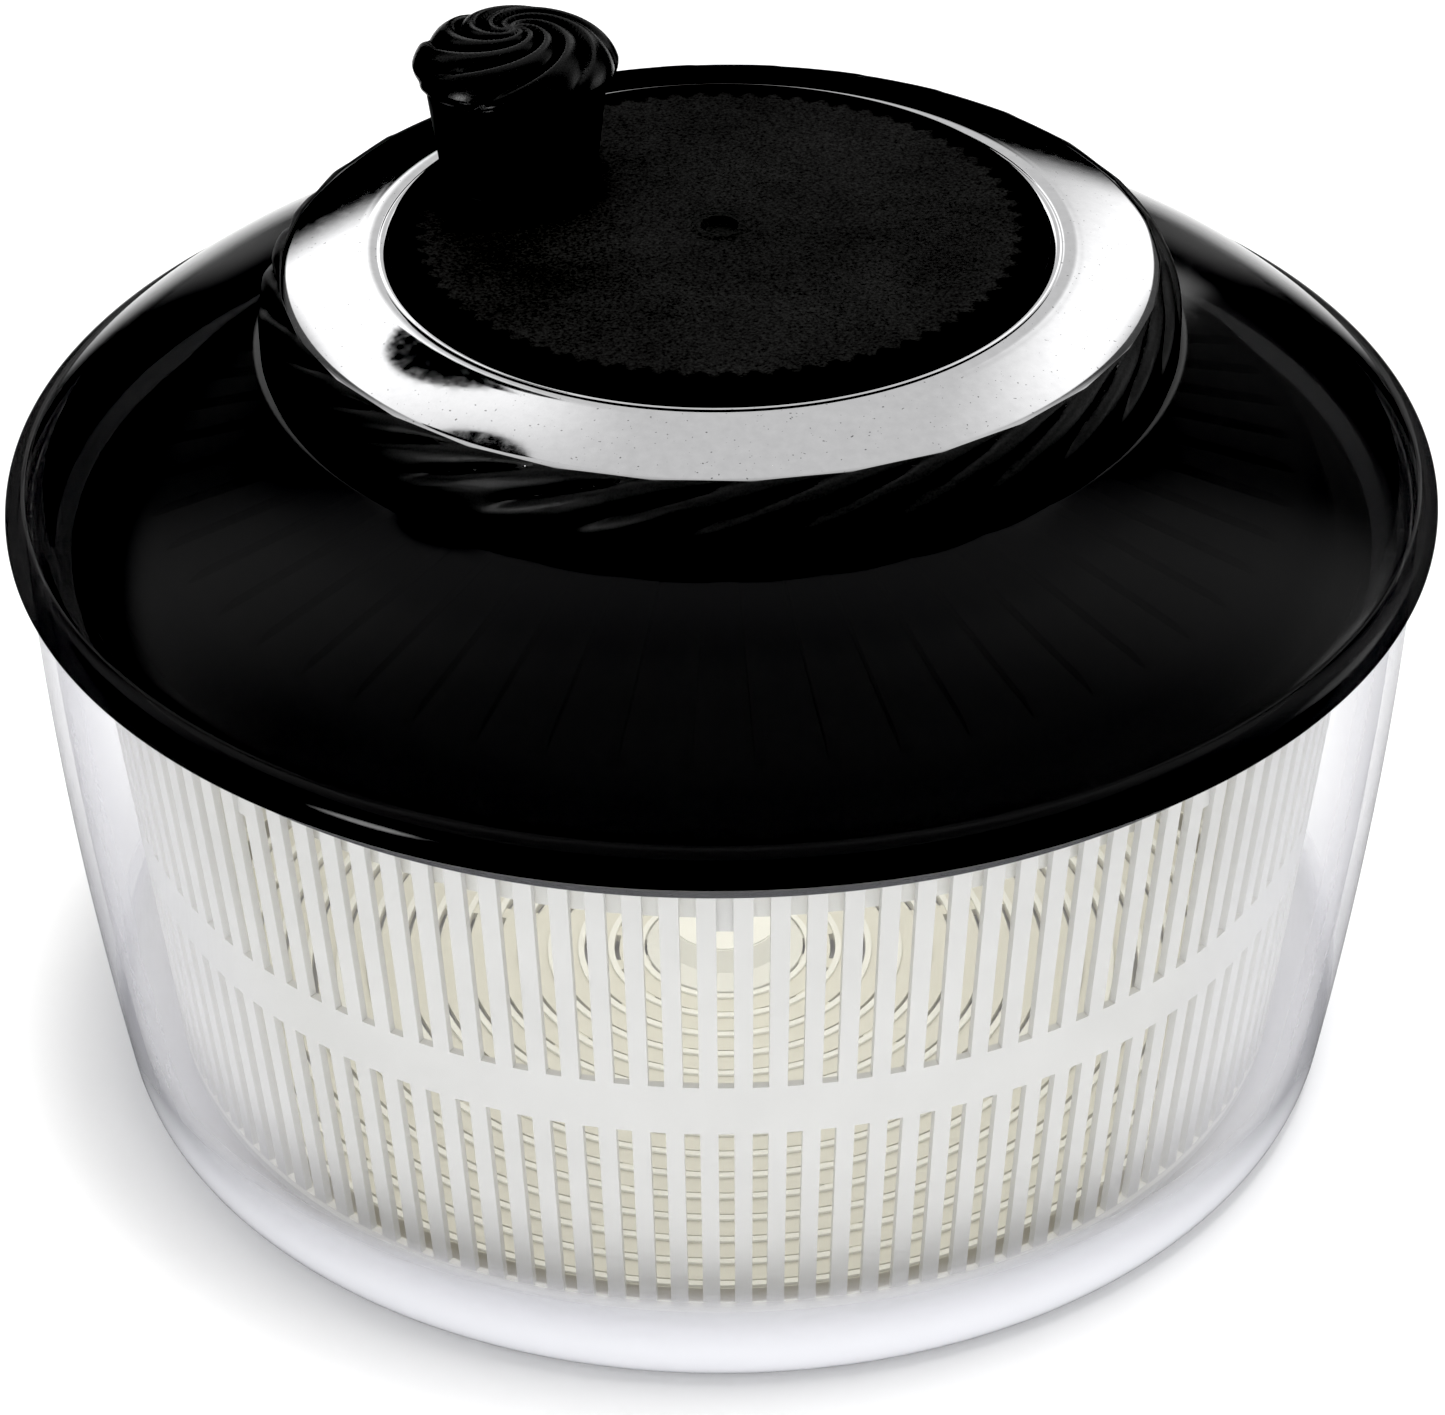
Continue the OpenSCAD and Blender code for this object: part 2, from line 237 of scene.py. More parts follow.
def let_lamps_through(mat, share, colour=(1, 1, 1)):
    """Lets that share of a lamp's light through, as thin or translucent plastic does."""
    path = add(mat, "ShaderNodeLightPath")
    clear = add(mat, "ShaderNodeBsdfTransparent")
    clear.inputs["Color"].default_value = (*colour, 1)
    mix = add(mat, "ShaderNodeMixShader")
    link(mat, calc(mat, "MULTIPLY", path.outputs["Is Shadow Ray"], share), mix.inputs[0])
    link(mat, shader_of(mat).outputs[0], mix.inputs[1])
    link(mat, clear.outputs[0], mix.inputs[2])
    link(mat, mix.outputs[0], mat.node_tree.nodes["Material Output"].inputs["Surface"])


def clear_plastic():
    """Thin clear plastic: nearly invisible face on, a pale lilac veil seen along the wall,
    and milky in the thick foot."""
    mat = material("clear_bowl_plastic", IOR=1.46, Roughness=0.08)
    _, _, height = xyz_of(mat)
    veil = spread(mat, add(mat, "ShaderNodeLayerWeight", Blend=0.5).outputs["Facing"],
                  0.05, 0.65, 0.48, 1.0)
    foot = spread(mat, height, 0.94, 0.0, 0.007, 0.027, smooth=True)
    link(mat, calc(mat, "MAXIMUM", veil, foot), shader_of(mat).inputs["Alpha"])
    cloud = spread(mat, noise_of(mat, 16, 2), 0, 1, 0.35, 0.65)
    wall = blend_colours(mat, cloud, (0.80, 0.80, 0.87), (0.86, 0.86, 0.91))
    paint(mat, blend_colours(mat, spread(mat, height, 1, 0, 0.010, 0.030), wall,
                             (0.88, 0.885, 0.925)))
    link(mat, spread(mat, noise_of(mat, 900, 4), 0.05, 0.13), shader_of(mat).inputs["Roughness"])
    relief(mat, noise_of(mat, 14, 2), 0.4, 0.05)
    return mat


def basket_plastic():
    """Slightly milky white outside; its inner faces and floor are painted a warm ivory as painted
    bounce light, and the tops of the floor ridges and the hub are painted paler as a painted
    highlight.
    """
    mat = milky_plastic("basket_plastic", (0.62, 0.62, 0.60), (0.66, 0.66, 0.64), 0.34, 0.7, IVORY)
    outer = shader_of(mat).inputs["Base Color"].links[0].from_socket
    x, y, z = xyz_of(mat)
    reach = reach_of(mat, x, y)
    wall = calc(mat, "MULTIPLY_ADD", z, BASKET_FLARE, BASKET_FOOT_R * MM)
    # Inner faces and floor, where warm bounce light is painted in ivory
    inside = spread(mat, calc(mat, "SUBTRACT", wall, reach), 0, 1, 0.0012, 0.0026, smooth=True)
    ridge_top = FLOOR_RIDGE_TOP * MM
    # Painted highlight on the lit tops of the floor ridges
    ridge = calc(mat, "MULTIPLY", spread(mat, z, 0, 1, ridge_top - 0.0005, ridge_top - 0.0003),
                 spread(mat, z, 1, 0, ridge_top + 0.0008, ridge_top + 0.0014))
    # Painted highlight over the hub, which lightens its shaded sides
    hub_highlight = spread(mat, reach, 1, 0, 0.0155, 0.0165)
    painted_highlight = calc(mat, "MAXIMUM", ridge, hub_highlight)
    # Share painted ivory as warm bounce light: the inside, but not the highlighted ridges and hub
    ivory = calc(mat, "MULTIPLY", inside, calc(mat, "SUBTRACT", 1.0, painted_highlight))
    # Outer colour, painted paler where the ridge and hub highlight lies
    white = blend_colours(mat, painted_highlight, outer, (0.92, 0.92, 0.87))
    paint(mat, blend_colours(mat, ivory, white, (0.78, 0.765, 0.68)))
    return mat


def milky_plastic(name, inner, outer, rough, through=0.0, glow=(1, 1, 1)):
    """Pale moulded plastic, a little uneven in colour and gloss; through is the share of lamp
    light that it lets pass, tinted by glow."""
    mat = material(name, Roughness=rough, IOR=1.5)
    paint(mat, blend_colours(mat, spread(mat, noise_of(mat, 60), 0, 1), inner, outer))
    fine = noise_of(mat, 1800, 2)
    link(mat, spread(mat, fine, rough - 0.06, rough + 0.08), shader_of(mat).inputs["Roughness"])
    relief(mat, fine, 0.05, 0.12)
    if through:
        let_lamps_through(mat, through, glow)
    return mat


def smoked_plastic():
    """Smoked plastic that is nearly black, with a polished face."""
    mat = material("smoked_lid_plastic", Base_Color=(0.0055, 0.0055, 0.0056), IOR=1.46, Alpha=0.9)
    shader_of(mat).inputs["Specular IOR Level"].default_value = 0.2
    link(mat, spread(mat, noise_of(mat, 420, 5), 0.05, 0.12), shader_of(mat).inputs["Roughness"])
    relief(mat, noise_of(mat, 22, 2), 0.3, 0.04)
    let_lamps_through(mat, THROUGH)
    return mat


def satin_black(name, base, light, rough, grain=2600, level=0.35, through=0.0):
    """Black plastic with a fine moulded grain."""
    mat = material(name, IOR=1.47)
    shader_of(mat).inputs["Specular IOR Level"].default_value = level
    fine = noise_of(mat, grain, 3, 0.7)
    paint(mat, blend_colours(mat, spread(mat, fine, 0, 1), base, light))
    link(mat, spread(mat, fine, rough + 0.1, rough - 0.08), shader_of(mat).inputs["Roughness"])
    relief(mat, fine, 0.06, 0.35)
    if through:
        let_lamps_through(mat, through)
    return mat


def knob_plastic():
    """Satin black, with a glossier cap than sleeve."""
    mat = satin_black("knob_plastic", (0.001, 0.001, 0.001), (0.003, 0.003, 0.003), 0.26,
                      level=0.38)
    _, _, height = xyz_of(mat)
    joint = top("knob_sleeve") * MM
    dull = spread(mat, height, 0.62, 0.0, joint - 0.0005, joint + 0.0008)
    rough = shader_of(mat).inputs["Roughness"]
    link(mat, calc(mat, "MAXIMUM", rough.links[0].from_socket, dull), rough)
    return mat


def disc_plastic():
    """Speckled black, paler inside a toothed line where the ring gear backs the disc."""
    teeth, edge_r, tooth_depth = 72, 0.0535, 0.0009
    mat = material("disc_plastic", IOR=1.47)
    shader_of(mat).inputs["Specular IOR Level"].default_value = 0.05
    x, y, _ = xyz_of(mat)
    reach = reach_of(mat, x, y)
    wave = calc(mat, "SINE", calc(mat, "MULTIPLY", calc(mat, "ARCTAN2", y, x), teeth))
    toothed = calc(mat, "MULTIPLY_ADD", wave, tooth_depth, reach)
    inside = spread(mat, toothed, 1, 0, edge_r - 0.0009, edge_r + 0.0007)
    fine = noise_of(mat, 1700, 3, 0.75)
    broad = noise_of(mat, 45, 3)
    grain = calc(mat, "MULTIPLY", spread(mat, fine, 0, 1), spread(mat, broad, 0.5, 1.0))
    face = blend_colours(mat, grain, (0.002, 0.002, 0.002), (0.017, 0.017, 0.0165))
    paint(mat, blend_colours(mat, inside, (0.0006, 0.0006, 0.0006), face))
    link(mat, spread(mat, fine, 0.6, 0.45), shader_of(mat).inputs["Roughness"])
    relief(mat, fine, 0.05, 0.3)
    let_lamps_through(mat, THROUGH)
    return mat


def chrome_plate():
    """Mirror plating with faint haze and specks of dust."""
    mat = material("chrome_plate", Metallic=1.0)
    fine = noise_of(mat, 500, 5)
    link(mat, spread(mat, fine, 0.03, 0.09), shader_of(mat).inputs["Roughness"])
    plate = blend_colours(mat, spread(mat, fine, 0, 1), (0.86, 0.86, 0.87), (0.94, 0.94, 0.95))
    dust = spread(mat, noise_of(mat, 1500, 1), 0, 0.8, 0.735, 0.76)
    paint(mat, blend_colours(mat, dust, plate, (0.12, 0.12, 0.12)))
    let_lamps_through(mat, THROUGH)
    return mat


def bright_steel():
    """Plated steel of the screws, pins and washers."""
    mat = material("plated_steel", Metallic=1.0)
    fine = noise_of(mat, 1500)
    paint(mat, blend_colours(mat, spread(mat, fine, 0, 1), (0.45, 0.45, 0.47), (0.68, 0.68, 0.7)))
    link(mat, spread(mat, fine, 0.22, 0.42), shader_of(mat).inputs["Roughness"])
    relief(mat, fine, 0.02, 0.2)
    return mat


IVORY = (1.0, 0.97, 0.88)
MATERIALS = {
    "clear_bowl": clear_plastic(),
    "white_basket": basket_plastic(),
    "smoked_lid": smoked_plastic(),
    "black_grip": satin_black("grip_plastic", (0.001, 0.001, 0.001), (0.007, 0.007, 0.007), 0.46,
                              level=0.5, through=THROUGH),
    "chrome_trim": chrome_plate(),
    "housing_black": satin_black("housing_plastic", (0.01, 0.01, 0.01), (0.03, 0.03, 0.03), 0.5,
                                 through=THROUGH),
    "bush_ivory": milky_plastic("bush_plastic", (0.62, 0.58, 0.44), (0.72, 0.68, 0.54), 0.4, 0.9),
    "gear_ivory": milky_plastic("gear_plastic", (0.72, 0.70, 0.60), (0.80, 0.78, 0.69), 0.4, 0.9),
    "steel_hardware": bright_steel(),
    "drive_white": milky_plastic("drive_plastic", (0.84, 0.84, 0.80), (0.9, 0.9, 0.87), 0.36,
                                 THROUGH, IVORY),
    "disc_smoke": disc_plastic(),
    "knob_black": knob_plastic(),
}
SLOT_OF = {s["node"]: s["material_slot"] for s in frame["record"]["subparts"]}
BODY_OF = {n: b for b, nodes in frame["record"]["behaviour"]["bodies"].items() for n in nodes}


def finish_piece(piece, node):
    """Gives a piece the material of the slot and the body of the CAD node that it stands for."""
    slot = SLOT_OF[node]
    piece.data.materials.clear()
    piece.data.materials.append(MATERIALS[slot])
    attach(piece, BODY_OF[node])
    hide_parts(node)
    return piece


# ---------------------------------------------------------------- bowl

def make_bowl():
    """Flared wall with a rounded rim and foot, and a pivot for the basket in its floor."""
    rim_r = radius("serving_bowl")
    rim_z = top("serving_bowl")
    wall_top = rim_z - 4
    flare = 10.1
    wall = 2.4
    base_r = rim_r - 15.2
    floor_z = 3.8

    def r_at(z):
        return rim_r - flare * (1 - z / wall_top) ** 1.72

    heights = [6 + (wall_top - 6) * i / 40 for i in range(41)]
    outer = bend((base_r, 0), (base_r + 4.8, 0), (r_at(6), 6), 12)
    outer += [(r_at(z), z) for z in heights[1:]]
    rim = bend((rim_r, rim_z - 1.2), (rim_r, rim_z), (rim_r - 1.2, rim_z), 4)
    rim += bend((rim_r - 1.4, rim_z), (rim_r - wall, rim_z), (rim_r - wall, rim_z - 1.2), 4)
    inner = [(r_at(z) - wall, z) for z in reversed(heights) if z >= 9]
    inner += bend((r_at(9) - wall, 8.8), (r_at(6) - wall - 1, floor_z), (109, floor_z), 10)
    boss = [(13, floor_z), (9, 6.2), (4, 6.2), (4, 12.6)]
    boss += bend((4, 12.6), (4, 13.9), (2.6, 13.9), 4)[1:] + [(0, 13.9)]
    foot = [(0, 0.8), (60, 0.8), (103.4, 0.8)]
    foot += bend((104, 0.7), (104.3, 0), (105.2, 0), 4)
    return lathe("bowl_clear", foot + outer + rim + inner + boss, cols=288)


# ---------------------------------------------------------------- basket

SLOTS = 120


def basket_r(z):
    """The basket's outer radius at height z."""
    return BASKET_FOOT_R + BASKET_FLARE * z


def slotted_wall():
    """Wall as a grid of cells, some of them left open as slots, with ribs standing inwards."""
    wall, rib_depth = 1.5, 2.5
    rib_low, rib_high = 8, 106
    slot_w, slot_r = 2.75, 112
    bands = [(6.5, 10, False), (10, 53.2, True), (53.2, 64.2, False), (64.2, 110, True),
             (110, 110.6, False)]
    levels = []
    for z0, z1, is_open in bands:
        steps = max(1, round((z1 - z0) / 6))
        for s in range(steps):
            levels.append((z0 + (z1 - z0) * s / steps, is_open))
    zs = [z for z, _ in levels] + [bands[-1][1]]
    half_slot = slot_w / 2 / slot_r
    pitch = TAU / SLOTS
    angles, is_slot = [], []
    for k in range(SLOTS):
        mid = k * pitch
        angles += [mid - half_slot, mid + half_slot, mid + pitch / 2]
        is_slot += [True, False, False]
    cols, rows = len(angles), len(zs)
    verts = []
    for inner in (False, True):
        for z in zs:
            for j, a in enumerate(angles):
                depth = 0
                if inner:
                    depth = rib_depth if rib_low < z < rib_high and j % 3 == 2 else wall
                r = basket_r(z) - depth
                verts.append((r * math.cos(a), r * math.sin(a), z))
    shift = rows * cols

    def solid(i, j):
        return 0 <= i < rows - 1 and not (levels[i][1] and is_slot[j % cols])

    faces = []
    for i in range(rows - 1):
        for j in range(cols):
            if not solid(i, j):
                continue
            k = (j + 1) % cols
            a, b, c, d = i * cols + j, i * cols + k, (i + 1) * cols + k, (i + 1) * cols + j
            faces.append((a, b, c, d))
            faces.append((a + shift, d + shift, c + shift, b + shift))
            for other, (p, q) in (((i - 1, j), (a, b)), ((i + 1, j), (c, d)),
                                  ((i, j - 1), (d, a)), ((i, j + 1), (b, c))):
                if not solid(*other):
                    faces.append((q, p, p + shift, q + shift))
    return verts, faces


def append_part(verts, faces, more_verts, more_faces):
    """Adds one closed part to the points and faces of a larger mesh."""
    start = len(verts)
    verts.extend(more_verts)
    faces.extend(tuple(v + start for v in f) for f in more_faces)


def ring_part(r_out, r_in, z0, z1, cols=180):
    """A plain ring with a square section."""
    verts = []
    for r, z in ((r_out, z0), (r_out, z1), (r_in, z1), (r_in, z0)):
        verts += [(r * math.cos(TAU * j / cols), r * math.sin(TAU * j / cols), z)
                  for j in range(cols)]
    return verts, grid_faces(4, cols, close_rows=True)


def bar_part(angle, r0, r1, width, z0, z1):
    """A straight bar along a radius."""
    c, s = math.cos(angle), math.sin(angle)
    verts = []
    for r in (r0, r1):
        for w, z in ((-width / 2, z0), (width / 2, z0), (width / 2, z1), (-width / 2, z1)):
            verts.append((r * c - w * s, r * s + w * c, z))
    faces = [(0, 1, 2, 3), (7, 6, 5, 4)]
    faces += [(i, i + 4, (i + 1) % 4 + 4, (i + 1) % 4) for i in range(4)]
    return verts, faces


def make_basket():
    """Slotted wall, rim, floor of concentric treads with ridges, spokes, hub and driving lugs."""
    verts, faces = slotted_wall()
    rim_r = basket_r(106.5)
    for r_out, r_in, z0, z1 in ((rim_r + 2.2, rim_r - 1.7, 110.4, top("basket")),
                                (basket_r(7) - 0.4, 101.5, 6.5, 8.2)):
        append_part(verts, faces, *ring_part(r_out, r_in, z0, z1, 240))
    pitch, tread, ridge = 6.0, 5.0, 1.2
    r = 16.0
    while r < 101:
        append_part(verts, faces, *ring_part(r + tread, r, 6.9, 8.2, 144))
        append_part(verts, faces, *ring_part(r + ridge, r + 0.02, 8.15, FLOOR_RIDGE_TOP, 144))
        r += pitch
    for k in range(12):
        append_part(verts, faces, *bar_part(TAU * (k + 0.5) / 12, 10, 102.5, 3, 6.5, 8.1))
    append_part(verts, faces, *ring_part(11, 4.08, 6.5, 14.6, 96))
    skirt = len(verts)
    for r, z in ((15.5, 6.9), (15.5, 8.9), (12.6, 11.2), (11.2, 15.6), (10.8, 15.6), (10.8, 6.9)):
        verts += circle_points(r, z, 96)
    faces += grid_faces(6, 96, close_rows=True, start=skirt)
    append_part(verts, faces, *ring_part(11, 0.01, 14.6, 16, 96))
    for k in range(8):
        append_part(verts, faces, *bar_part(TAU * k / 8, 112, 116.2, 7, 99.5, 106.5))
    return new_piece("basket_slotted", verts, faces)


# ---------------------------------------------------------------- lid

DECK_Z = 149.3


def make_lid_dome():
    """Dome with a rounded lip that hangs over the bowl, and a collar that goes inside it."""
    lip_r = radius("lid_dome")
    lip_z = top("serving_bowl") - 2
    seat = top("serving_bowl")
    wall = 2.2
    profile = [(64, DECK_Z)]
    profile += bend((83, DECK_Z), (110, 141), (126.2, 125.55), 40)
    profile += bend((126.7, 124.9), (127.0, 124.3), (127.7, 124.75), 4)
    profile += bend((127.7, 124.8), (lip_r, 123.6), (lip_r, lip_z + 1.6), 12)[1:]
    profile += bend((lip_r, lip_z + 1.5), (lip_r, lip_z), (lip_r - 1.3, lip_z), 5)[1:]
    profile += [(128.8, lip_z), (128.8, seat), (124.6, seat), (124.6, 112.5), (122.6, 112.5)]
    profile += [(122.6, 121.5)]
    profile += bend((123.6, 124.6), (108.6, 139.1), (82.4, DECK_Z - wall), 30)
    profile += [(64, DECK_Z - wall)]
    return lathe("lid_smoked_dome", profile, cols=320)


FLUTES = 30
FLUTE_PITCH = TAU / FLUTES
BAND_TOP = 153
RING_TOP_Z = 163.3
RING_INSET = 0.15


def flute(x, fullness, peak=0.3):
    """Height of a flute from 0 to 1 across its width: a short steep rise and a slow fall, which
    stays high for longer the fuller it is."""
    x = x % 1.0
    if x < peak:
        return math.sin(math.pi / 2 * x / peak) ** 0.7
    return math.cos(math.pi / 2 * ((x - peak) / (1 - peak)) ** fullness)


def ease(x):
    """Smooth step from 0 to 1."""
    x = min(1.0, max(0.0, x))
    return x * x * (3 - 2 * x)


def circle_points(r, z, cols):
    """A ring of points around the spin axis."""
    return [(r * math.cos(TAU * j / cols), r * math.sin(TAU * j / cols), z) for j in range(cols)]


def make_grip_collar():
    """Flutes start on the trim ring's edge, lean round and die out above a plain foot band. The
    lip over the ring is a polygon with its corners at the creases."""
    foot_r, ring_r = radius("grip_collar"), radius("chrome_ring") - RING_INSET
    steps, cols = 34, FLUTES * 24
    lean, depth = math.radians(22), 1.6
    first_crease = math.radians(-86.2)
    shoulder = bend((foot_r, BAND_TOP), (foot_r + 0.4, 160.0), (ring_r, RING_TOP_Z), steps)
    verts = circle_points(foot_r, DECK_Z, cols) + circle_points(foot_r, BAND_TOP - 1, cols)
    for i, (r, z) in enumerate(shoulder):
        up = i / steps
        before, after = shoulder[max(0, i - 1)], shoulder[min(steps, i + 1)]
        run, rise = after[0] - before[0], after[1] - before[1]
        length = math.hypot(run, rise)
        amount = depth * ease(up / 0.55) * (1 - 0.85 * ease((up - 0.78) / 0.22))
        crease = first_crease - lean * (1 - up) ** 0.7
        for j in range(cols):
            a = TAU * j / cols
            sink = amount * (1 - flute((a - crease) / FLUTE_PITCH, 1.6))
            off_mid = ((a - first_crease) % FLUTE_PITCH) - FLUTE_PITCH / 2
            flat = ring_r * (1 - math.cos(FLUTE_PITCH / 2) / math.cos(off_mid)) * up ** 3
            rr = r - flat - sink * rise / length
            zz = z + sink * run / length
            verts.append((rr * math.cos(a), rr * math.sin(a), zz))
    lip = verts[-cols:]
    verts += [(x * 0.9985, y * 0.9985, 162) for x, y, _ in lip]
    inner = [(77.2, 160.3), (75.6, 160.3), (75.6, 158.4), (79.4, DECK_Z + 0.1), (79.6, DECK_Z)]
    for r, z in inner:
        verts += circle_points(r, z, cols)
    faces = grid_faces(len(verts) // cols, cols, close_rows=True)
    append_part(verts, faces, *ring_part(77, 61, 158.4, 160.4, 160))
    append_part(verts, faces, *ring_part(63, 61, 155, 164.8, 160))
    for k in range(4):
        a = math.radians(45 + 90 * k)
        boss_v, boss_f = ring_part(3.4, 1.5, DECK_Z + 2, 158.4, 32)
        moved = [(x + 70 * math.cos(a), y + 70 * math.sin(a), z) for x, y, z in boss_v]
        append_part(verts, faces, moved, boss_f)
    return new_piece("collar_fluted", verts, faces, 40)


def make_chrome_ring():
    """Trim ring that slopes down to a rolled edge, with a low bead at its inner edge."""
    in_r, out_r = 59.7, radius("chrome_ring") - RING_INSET
    profile = [(out_r, 160.4)]
    profile += bend((out_r, 162.3), (out_r - 0.1, 162.9), (out_r - 0.9, 163.15), 8)
    profile += bend((out_r - 1, 163.2), (71.4, 164.97), (64.6, 166.35), 20)
    profile += bend((64.2, 166.42), (62.9, 166.72), (61.7, 166.66), 8)
    profile += bend((61.4, 166.62), (61.1, 166.5), (60.9, 166.56), 5)
    profile += bend((60.7, 166.64), (60.2, 166.72), (in_r, 166.5), 5)
    profile += [(in_r, 166.3), (in_r, 164.8), (64.2, 164.8), (out_r - 1.7, 161.2)]
    profile += [(out_r - 1.7, 160.4)]
    return lathe("trim_ring", profile, cols=360)


# ---------------------------------------------------------------- crank

def make_crank_disc():
    """Disc with a stem below and a raised dimple in the middle."""
    disc_r, disc_z = radius("crank_disc"), top("crank_disc") - 0.35
    profile = [(0, 156.7), (5, 156.7), (5, 161.5), (9, 161.5), (9, disc_z - 3)]
    profile += [(disc_r - 1.4, disc_z - 3), (disc_r - 1.4, 162.5), (disc_r, 162.5)]
    profile += bend((disc_r, disc_z - 1.3), (disc_r, disc_z), (disc_r - 1.6, disc_z), 6)
    profile += [(r, disc_z) for r in (52, 44, 36, 28, 20, 12, 6.2)]
    profile += bend((5.2, disc_z), (4.6, disc_z + 0.35), (3.8, disc_z + 0.35), 4)
    profile += bend((3.4, disc_z + 0.3), (2.9, disc_z - 0.3), (2.4, disc_z - 0.75), 4)
    profile += [(1.2, disc_z - 0.85), (0, disc_z - 0.8)]
    return lathe("crank_disc_top", profile, cols=320)


def knob_axis():
    """Where the knob's axis stands, in millimetres."""
    lo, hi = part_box("knob_cap")
    return ((lo.x + hi.x) / 2 / MM, (lo.y + hi.y) / 2 / MM)


def make_knob_sleeve():
    """Sleeve that widens upwards, hollow around the knob's spindle."""
    z0, joint_z = low("knob_sleeve"), top("knob_sleeve")
    foot_r, head_r = 14.5, 16.4
    profile = [(7.6, z0 + 1.4), (7.6, z0)]
    profile += bend((foot_r - 0.6, z0), (foot_r, z0), (foot_r, z0 + 0.6), 3)
    profile += bend((foot_r, z0 + 0.9), (foot_r - 0.3, z0 + 1.2), (foot_r - 0.3, z0 + 1.6), 3)
    reach, rise = head_r - foot_r + 0.3, joint_z - 0.9 - z0 - 1.6
    profile += [(foot_r - 0.3 + reach * t / 10, z0 + 1.6 + rise * t / 10) for t in range(1, 11)]
    profile += [(head_r - 0.3, joint_z), (12, joint_z), (12, 174), (7.2, 174), (7.2, 181)]
    profile += [(4.06, 181), (4.06, z0 + 1.4)]
    return lathe("knob_sleeve_turning", profile, cols=128, centre=knob_axis())


PETALS = 7


def make_knob_cap():
    """A flat mushroom cap of rope-like petals that swirl out from the middle and over the rim."""
    cap_r, cap_z = radius("knob_cap"), top("knob_cap")
    joint_z = top("knob_sleeve")
    wide_z = joint_z + 2.4
    dome_steps, rim_steps, cols = 48, 20, PETALS * 40
    sweep, wrap, depth = math.radians(260), math.radians(14), 2.1
    outline = bend((0.02, cap_z), (cap_r * 0.88, cap_z + 0.2), (cap_r, wide_z), dome_steps)
    outline += bend((cap_r, wide_z), (cap_r, joint_z), (16.2, joint_z), rim_steps)[1:]
    total = len(outline) - 1
    verts = []
    for i, (r, z) in enumerate(outline):
        before, after = outline[max(0, i - 1)], outline[min(total, i + 1)]
        run, fall = after[0] - before[0], before[1] - after[1]
        length = math.hypot(run, fall)
        past_rim = max(0.0, (i - dome_steps) / rim_steps)
        out = ease((r / cap_r - 0.72) / 0.28)
        amount = depth * ease(r / 6.5) * (1 - 0.6 * out) * (1 - 0.9 * ease(past_rim))
        turn = sweep * min(1.0, r / cap_r) ** 0.55 if i <= dome_steps else sweep + wrap * past_rim
        for j in range(cols):
            a = TAU * j / cols
            sink = amount * (1 - flute(PETALS * (a + turn) / TAU, 1.6, 0.2))
            rr = max(0.02, r - sink * fall / length)
            verts.append((rr * math.cos(a), rr * math.sin(a), z - sink * run / length))
    plug_z, hollow_z = joint_z - 2.4, 190.5
    for r, z in ((12, joint_z), (12, plug_z), (9.6, plug_z), (9.6, hollow_z), (0.02, hollow_z)):
        verts += circle_points(r, z, cols)
    faces = grid_faces(len(verts) // cols, cols)
    cx, cy = knob_axis()
    verts = [(x + cx, y + cy, z) for x, y, z in verts]
    return new_piece("knob_cap_swirl", verts, faces, 60)


for build, node in ((make_bowl, "serving_bowl"), (make_basket, "basket"),
                    (make_lid_dome, "lid_dome"), (make_grip_collar, "grip_collar"),
                    (make_chrome_ring, "chrome_ring"), (make_crank_disc, "crank_disc"),
                    (make_knob_sleeve, "knob_sleeve"), (make_knob_cap, "knob_cap")):
    finish_piece(build(), node)

for node, part in frame["nodes"].items():
    part.data.materials.clear()
    part.data.materials.append(MATERIALS[SLOT_OF[node]])

# ---------------------------------------------------------------- stage, light and camera

def make_floor():
    """A white floor. Reflections see only two strips of it behind the object, and black else."""
    bpy.ops.mesh.primitive_plane_add(size=3, location=(0, 0, 0))
    floor = bpy.context.object
    floor.name = "studio_floor"
    mat = material("floor_white", Base_Color=(0.92, 0.92, 0.92), Roughness=0.9)
    shader_of(mat).inputs["Specular IOR Level"].default_value = 0.0
    x, y, _ = xyz_of(mat)
    aside = calc(mat, "MULTIPLY_ADD", y, -0.3, calc(mat, "ABSOLUTE", x))
    behind = spread(mat, y, 0, 1, 0.05, 0.16, smooth=True)
    behind = calc(mat, "MULTIPLY", behind, spread(mat, y, 1, 0.35, 0.4, 1.4, smooth=True))
    beside = spread(mat, calc(mat, "ABSOLUTE", x), 0, 1, 0.05, 0.12, smooth=True)
    lit = calc(mat, "MULTIPLY", calc(mat, "MULTIPLY", behind, beside),
               spread(mat, aside, 1, 0, 0.06, 0.18, smooth=True))
    far = calc(mat, "SUBTRACT", 1.0, lit)
    path = add(mat, "ShaderNodeLightPath")
    dark = add(mat, "ShaderNodeBsdfDiffuse", Color=(0, 0, 0, 1))
    mix = add(mat, "ShaderNodeMixShader")
    link(mat, calc(mat, "MULTIPLY", far, path.outputs["Is Glossy Ray"]), mix.inputs[0])
    link(mat, shader_of(mat).outputs[0], mix.inputs[1])
    link(mat, dark.outputs[0], mix.inputs[2])
    link(mat, mix.outputs[0], mat.node_tree.nodes["Material Output"].inputs["Surface"])
    floor.data.materials.append(mat)


